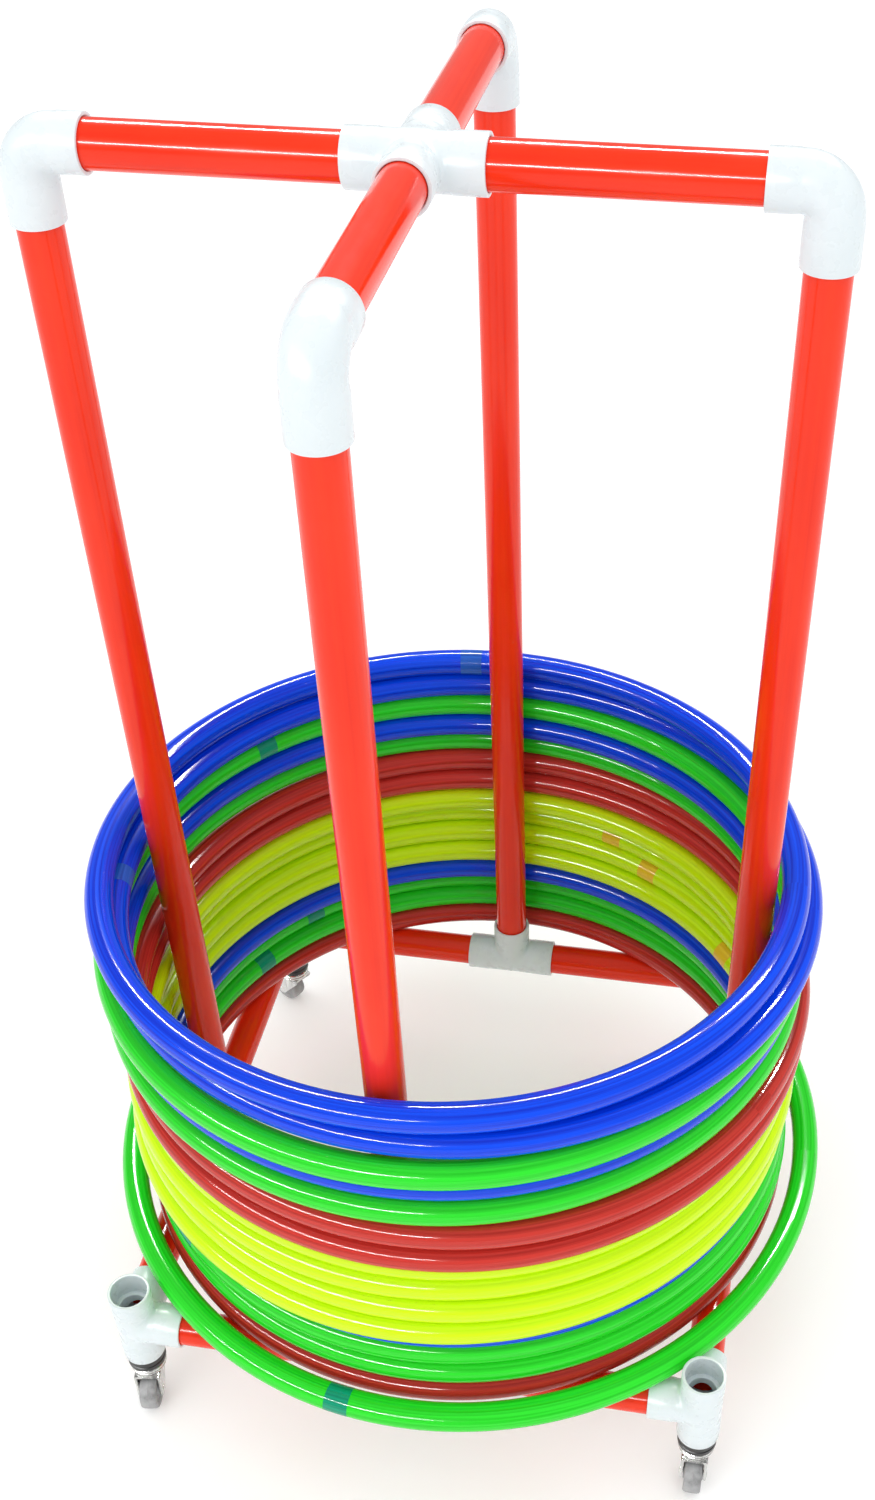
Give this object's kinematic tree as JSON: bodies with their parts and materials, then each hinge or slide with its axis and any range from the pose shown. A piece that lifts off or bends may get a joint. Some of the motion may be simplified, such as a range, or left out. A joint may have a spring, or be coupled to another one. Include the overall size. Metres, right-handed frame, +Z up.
{
  "type": "hoop storage cart",
  "caption": "Rolling storage cart of socketed red plastic pipe: a square base ring on swivel casters, upright posts joined by a cross of arms, and play hoops stacked round the posts.",
  "frame": {"origin": "on the floor, under the middle of the cart", "axes": "+Z up, +X to the cart's right, -Y to its front"},
  "size_m": [0.7126, 0.7126, 1.1438],
  "materials": {
    "pipe_red": "glossy red extruded pipe",
    "fitting_white": "smooth white moulded fitting",
    "insert_black": "black moulded insert",
    "caster_steel": "bright zinc-plated steel pressing",
    "wheel_grey": "grey moulded non-marking tread",
    "hoop_blue": "glossy blue tube",
    "hoop_green": "glossy green tube",
    "hoop_yellow": "glossy fluorescent yellow tube",
    "hoop_red": "glossy translucent red tube"
  },
  "bodies": {
    "cart": {"top_cross": "fitting_white", "elbow_right": "fitting_white", "arm_right": "pipe_red", "post_right": "pipe_red", "tee_right": "fitting_white", "base_pipe_right_a": "pipe_red", "base_pipe_right_b": "pipe_red", "elbow_back": "fitting_white", "arm_back": "pipe_red", "post_back": "pipe_red", "tee_back": "fitting_white", "base_pipe_back_a": "pipe_red", "base_pipe_back_b": "pipe_red", "elbow_left": "fitting_white", "arm_left": "pipe_red", "post_left": "pipe_red", "tee_left": "fitting_white", "base_pipe_left_a": "pipe_red", "base_pipe_left_b": "pipe_red", "elbow_front": "fitting_white", "arm_front": "pipe_red", "post_front": "pipe_red", "tee_front": "fitting_white", "base_pipe_front_a": "pipe_red", "base_pipe_front_b": "pipe_red", "corner_back_right": "fitting_white", "caster_insert_back_right": "insert_black", "corner_back_left": "fitting_white", "caster_insert_back_left": "insert_black", "corner_front_left": "fitting_white", "caster_insert_front_left": "insert_black", "corner_front_right": "fitting_white", "caster_insert_front_right": "insert_black"},
    "caster_back_right": {"caster_fork_back_right": "caster_steel"},
    "wheel_back_right": {"caster_wheel_back_right": "wheel_grey"},
    "caster_back_left": {"caster_fork_back_left": "caster_steel"},
    "wheel_back_left": {"caster_wheel_back_left": "wheel_grey"},
    "caster_front_left": {"caster_fork_front_left": "caster_steel"},
    "wheel_front_left": {"caster_wheel_front_left": "wheel_grey"},
    "caster_front_right": {"caster_fork_front_right": "caster_steel"},
    "wheel_front_right": {"caster_wheel_front_right": "wheel_grey"},
    "hoop_01_green": {"hoop_01_green": "hoop_green"},
    "hoop_02_red": {"hoop_02_red": "hoop_red"},
    "hoop_03_green": {"hoop_03_green": "hoop_green"},
    "hoop_04_green": {"hoop_04_green": "hoop_green"},
    "hoop_05_blue": {"hoop_05_blue": "hoop_blue"},
    "hoop_06_yellow": {"hoop_06_yellow": "hoop_yellow"},
    "hoop_07_yellow": {"hoop_07_yellow": "hoop_yellow"},
    "hoop_08_yellow": {"hoop_08_yellow": "hoop_yellow"},
    "hoop_09_yellow": {"hoop_09_yellow": "hoop_yellow"},
    "hoop_10_red": {"hoop_10_red": "hoop_red"},
    "hoop_11_red": {"hoop_11_red": "hoop_red"},
    "hoop_12_green": {"hoop_12_green": "hoop_green"},
    "hoop_13_blue": {"hoop_13_blue": "hoop_blue"},
    "hoop_14_green": {"hoop_14_green": "hoop_green"},
    "hoop_15_blue": {"hoop_15_blue": "hoop_blue"},
    "hoop_16_blue": {"hoop_16_blue": "hoop_blue"}
  },
  "joints": [
    {"name": "swivel_back_right", "type": "hinge", "parent": "cart", "child": "caster_back_right", "pos_m": [0.27, 0.27, 0.057], "axis": [0, 0, 1], "continuous": true},
    {"name": "roll_back_right", "type": "hinge", "parent": "caster_back_right", "child": "wheel_back_right", "pos_m": [0.27996, 0.26164, 0.02], "axis": [0.6428, 0.766, 0], "continuous": true},
    {"name": "swivel_back_left", "type": "hinge", "parent": "cart", "child": "caster_back_left", "pos_m": [-0.27, 0.27, 0.057], "axis": [0, 0, 1], "continuous": true},
    {"name": "roll_back_left", "type": "hinge", "parent": "caster_back_left", "child": "wheel_back_left", "pos_m": [-0.28126, 0.2765, 0.02], "axis": [-0.5, -0.866, 0], "continuous": true},
    {"name": "swivel_front_left", "type": "hinge", "parent": "cart", "child": "caster_front_left", "pos_m": [-0.27, -0.27, 0.057], "axis": [0, 0, 1], "continuous": true},
    {"name": "roll_front_left", "type": "hinge", "parent": "caster_front_left", "child": "wheel_front_left", "pos_m": [-0.26774, -0.2828, 0.02], "axis": [0.9848, 0.1736, 0], "continuous": true},
    {"name": "swivel_front_right", "type": "hinge", "parent": "cart", "child": "caster_front_right", "pos_m": [0.27, -0.27, 0.057], "axis": [0, 0, 1], "continuous": true},
    {"name": "roll_front_right", "type": "hinge", "parent": "caster_front_right", "child": "wheel_front_right", "pos_m": [0.27, -0.283, 0.02], "axis": [1, 0, 0], "continuous": true},
    {"name": "lift_01_green", "type": "slide", "parent": "cart", "child": "hoop_01_green", "axis": [0, 0, 1], "range_m": [0, 1.03]},
    {"name": "lift_02_red", "type": "slide", "parent": "hoop_01_green", "child": "hoop_02_red", "axis": [0, 0, 1], "range_m": [0, 1.03]},
    {"name": "lift_03_green", "type": "slide", "parent": "hoop_02_red", "child": "hoop_03_green", "axis": [0, 0, 1], "range_m": [0, 1.01]},
    {"name": "lift_04_green", "type": "slide", "parent": "hoop_03_green", "child": "hoop_04_green", "axis": [0, 0, 1], "range_m": [0, 0.98]},
    {"name": "lift_05_blue", "type": "slide", "parent": "hoop_04_green", "child": "hoop_05_blue", "axis": [0, 0, 1], "range_m": [0, 0.95]},
    {"name": "lift_06_yellow", "type": "slide", "parent": "hoop_05_blue", "child": "hoop_06_yellow", "axis": [0, 0, 1], "range_m": [0, 0.93]},
    {"name": "lift_07_yellow", "type": "slide", "parent": "hoop_06_yellow", "child": "hoop_07_yellow", "axis": [0, 0, 1], "range_m": [0, 0.9]},
    {"name": "lift_08_yellow", "type": "slide", "parent": "hoop_07_yellow", "child": "hoop_08_yellow", "axis": [0, 0, 1], "range_m": [0, 0.88]},
    {"name": "lift_09_yellow", "type": "slide", "parent": "hoop_08_yellow", "child": "hoop_09_yellow", "axis": [0, 0, 1], "range_m": [0, 0.85]},
    {"name": "lift_10_red", "type": "slide", "parent": "hoop_09_yellow", "child": "hoop_10_red", "axis": [0, 0, 1], "range_m": [0, 0.83]},
    {"name": "lift_11_red", "type": "slide", "parent": "hoop_10_red", "child": "hoop_11_red", "axis": [0, 0, 1], "range_m": [0, 0.8]},
    {"name": "lift_12_green", "type": "slide", "parent": "hoop_11_red", "child": "hoop_12_green", "axis": [0, 0, 1], "range_m": [0, 0.78]},
    {"name": "lift_13_blue", "type": "slide", "parent": "hoop_12_green", "child": "hoop_13_blue", "axis": [0, 0, 1], "range_m": [0, 0.75]},
    {"name": "lift_14_green", "type": "slide", "parent": "hoop_13_blue", "child": "hoop_14_green", "axis": [0, 0, 1], "range_m": [0, 0.72]},
    {"name": "lift_15_blue", "type": "slide", "parent": "hoop_14_green", "child": "hoop_15_blue", "axis": [0, 0, 1], "range_m": [0, 0.7]},
    {"name": "lift_16_blue", "type": "slide", "parent": "hoop_15_blue", "child": "hoop_16_blue", "axis": [0, 0, 1], "range_m": [0, 0.67]}
  ]
}
